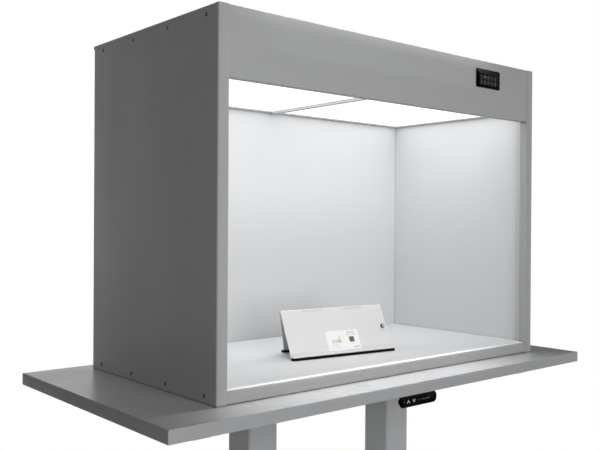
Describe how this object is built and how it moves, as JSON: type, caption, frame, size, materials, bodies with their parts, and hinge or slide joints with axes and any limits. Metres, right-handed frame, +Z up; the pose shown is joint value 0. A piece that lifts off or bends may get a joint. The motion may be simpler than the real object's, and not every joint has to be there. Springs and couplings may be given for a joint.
{
  "type": "colour viewing booth",
  "caption": "Steel viewing booth with a lit ceiling and white lining, standing on a worktop with telescopic lifting columns, with keypad, handset and folding sample stand.",
  "frame": {"origin": "on the floor, under the middle of the worktop, with the table fully lowered", "axes": "+X to the right, +Y to the back, +Z up; the booth's opening faces -Y"},
  "size_m": [1.25, 0.62, 1.45],
  "materials": {
    "cabinet_paint": "satin powder coat",
    "booth_white": "matt powder coat",
    "frame_grey": "satin powder coat",
    "opal_acrylic": "opal, satin",
    "zinc_sheet": "zinc-plated sheet",
    "lamp_board": "matt",
    "circuit_board": "matt",
    "black_plastic": "fine texture",
    "key_plastic": "satin",
    "screw_steel": "satin",
    "stand_white": "satin powder coat",
    "pin_steel": "satin",
    "strip_rubber": "matt",
    "card_white": "matt",
    "board_laminate": "grey laminate on board",
    "edge_plastic": "satin",
    "column_paint": "fine-texture powder coat",
    "drive_metal": "painted die casting",
    "spindle_steel": "rolled thread, bright",
    "nut_plastic": "natural acetal"
  },
  "bodies": {
    "base": {"left_foot": "column_paint", "right_foot": "column_paint", "levelling_feet": "strip_rubber", "left_inner_tube": "column_paint", "right_inner_tube": "column_paint", "nut_blocks": "nut_plastic"},
    "table": {"left_side_panel": "cabinet_paint", "right_side_panel": "cabinet_paint", "roof_panel": "cabinet_paint", "back_panel": "cabinet_paint", "front_fascia": "cabinet_paint", "bottom_rail": "cabinet_paint", "floor_panel": "booth_white", "inner_left_wall": "booth_white", "inner_right_wall": "booth_white", "inner_back_wall": "booth_white", "ceiling_frame": "frame_grey", "left_diffuser": "opal_acrylic", "right_diffuser": "opal_acrylic", "lamp_tray": "zinc_sheet", "led_boards": "lamp_board", "led_driver": "black_plastic", "control_board": "circuit_board", "keypad_housing": "black_plastic", "mains_inlet": "black_plastic", "pan_head_screws": "screw_steel", "worktop": "board_laminate", "edge_band": "edge_plastic", "top_frame": "column_paint", "control_box": "black_plastic", "handset_body": "black_plastic", "left_outer_tube": "column_paint", "right_outer_tube": "column_paint", "lift_drives": "drive_metal", "column_wipers": "black_plastic"},
    "left_spindle": {"left_spindle": "spindle_steel"},
    "right_spindle": {"right_spindle": "spindle_steel"},
    "stand": {"stand_plate": "stand_white", "stand_hinge_pin": "pin_steel", "front_rubber": "strip_rubber"},
    "stand_leg": {"stand_leg": "stand_white", "rear_rubber": "strip_rubber"},
    "stand_knob": {"stand_knob": "pin_steel"},
    "sample_card": {"sample_card": "card_white"},
    "pad_key_1": {"pad_key_1": "key_plastic"},
    "pad_key_2": {"pad_key_2": "key_plastic"},
    "pad_key_3": {"pad_key_3": "key_plastic"},
    "pad_key_4": {"pad_key_4": "key_plastic"},
    "pad_key_5": {"pad_key_5": "key_plastic"},
    "pad_key_6": {"pad_key_6": "key_plastic"},
    "pad_key_7": {"pad_key_7": "key_plastic"},
    "pad_key_8": {"pad_key_8": "key_plastic"},
    "pad_key_9": {"pad_key_9": "key_plastic"},
    "pad_key_10": {"pad_key_10": "key_plastic"},
    "handset_up_key": {"handset_up_key": "key_plastic"},
    "handset_down_key": {"handset_down_key": "key_plastic"},
    "memory_key_1": {"memory_key_1": "key_plastic"},
    "memory_key_2": {"memory_key_2": "key_plastic"},
    "memory_key_3": {"memory_key_3": "key_plastic"},
    "memory_key_4": {"memory_key_4": "key_plastic"}
  },
  "joints": [
    {"name": "desk_lift", "type": "slide", "parent": "base", "child": "table", "axis": [0, 0, 1], "range_m": [0, 0.46]},
    {"name": "left_spindle_turn", "type": "hinge", "parent": "table", "child": "left_spindle", "pos_m": [-0.218, 0, 0.5], "axis": [0, 0, 1], "range_deg": [-2, 8284]},
    {"name": "right_spindle_turn", "type": "hinge", "parent": "table", "child": "right_spindle", "pos_m": [0.218, 0, 0.5], "axis": [0, 0, 1], "range_deg": [-2, 8284]},
    {"name": "pad_key_1_press", "type": "slide", "parent": "table", "child": "pad_key_1", "axis": [0, 1, 0], "range_m": [0, 0.0005], "stiffness_N_per_m": 1500},
    {"name": "pad_key_2_press", "type": "slide", "parent": "table", "child": "pad_key_2", "axis": [0, 1, 0], "range_m": [0, 0.0005], "stiffness_N_per_m": 1500},
    {"name": "pad_key_3_press", "type": "slide", "parent": "table", "child": "pad_key_3", "axis": [0, 1, 0], "range_m": [0, 0.0005], "stiffness_N_per_m": 1500},
    {"name": "pad_key_4_press", "type": "slide", "parent": "table", "child": "pad_key_4", "axis": [0, 1, 0], "range_m": [0, 0.0005], "stiffness_N_per_m": 1500},
    {"name": "pad_key_5_press", "type": "slide", "parent": "table", "child": "pad_key_5", "axis": [0, 1, 0], "range_m": [0, 0.0005], "stiffness_N_per_m": 1500},
    {"name": "pad_key_6_press", "type": "slide", "parent": "table", "child": "pad_key_6", "axis": [0, 1, 0], "range_m": [0, 0.0005], "stiffness_N_per_m": 1500},
    {"name": "pad_key_7_press", "type": "slide", "parent": "table", "child": "pad_key_7", "axis": [0, 1, 0], "range_m": [0, 0.0005], "stiffness_N_per_m": 1500},
    {"name": "pad_key_8_press", "type": "slide", "parent": "table", "child": "pad_key_8", "axis": [0, 1, 0], "range_m": [0, 0.0005], "stiffness_N_per_m": 1500},
    {"name": "pad_key_9_press", "type": "slide", "parent": "table", "child": "pad_key_9", "axis": [0, 1, 0], "range_m": [0, 0.0005], "stiffness_N_per_m": 1500},
    {"name": "pad_key_10_press", "type": "slide", "parent": "table", "child": "pad_key_10", "axis": [0, 1, 0], "range_m": [0, 0.0005], "stiffness_N_per_m": 1500},
    {"name": "handset_up_key_press", "type": "slide", "parent": "table", "child": "handset_up_key", "axis": [0, 1, 0], "range_m": [0, 0.0005], "stiffness_N_per_m": 1500},
    {"name": "handset_down_key_press", "type": "slide", "parent": "table", "child": "handset_down_key", "axis": [0, 1, 0], "range_m": [0, 0.0005], "stiffness_N_per_m": 1500},
    {"name": "memory_key_1_press", "type": "slide", "parent": "table", "child": "memory_key_1", "axis": [0, 1, 0], "range_m": [0, 0.0005], "stiffness_N_per_m": 1500},
    {"name": "memory_key_2_press", "type": "slide", "parent": "table", "child": "memory_key_2", "axis": [0, 1, 0], "range_m": [0, 0.0005], "stiffness_N_per_m": 1500},
    {"name": "memory_key_3_press", "type": "slide", "parent": "table", "child": "memory_key_3", "axis": [0, 1, 0], "range_m": [0, 0.0005], "stiffness_N_per_m": 1500},
    {"name": "memory_key_4_press", "type": "slide", "parent": "table", "child": "memory_key_4", "axis": [0, 1, 0], "range_m": [0, 0.0005], "stiffness_N_per_m": 1500},
    {"name": "stand_tilt", "type": "hinge", "parent": "table", "child": "stand", "pos_m": [-0.01482, -0.09195, 0.7375], "axis": [0.9914, -0.1305, 0], "range_deg": [0, 20]},
    {"name": "leg_fold", "type": "hinge", "parent": "stand", "child": "stand_leg", "pos_m": [-0.00686, -0.03151, 0.84178], "axis": [-0.9914, 0.1305, 0], "range_deg": [-1, 41]},
    {"name": "knob_turn", "type": "hinge", "parent": "stand", "child": "stand_knob", "pos_m": [0.12159, -0.07484, 0.79447], "axis": [-0.1173, -0.8911, 0.4384], "range_deg": [0, 90]},
    {"name": "card_lift", "type": "slide", "parent": "stand", "child": "sample_card", "axis": [0.0572, 0.4346, 0.8988], "range_m": [0, 0.04]}
  ],
  "couplings": [
    {"joint": "left_spindle_turn", "follows": "desk_lift", "rad_per_m": 314.16},
    {"joint": "right_spindle_turn", "follows": "desk_lift", "rad_per_m": 314.16},
    {"joint": "leg_fold", "follows": "stand_tilt", "ratio": 2}
  ]
}
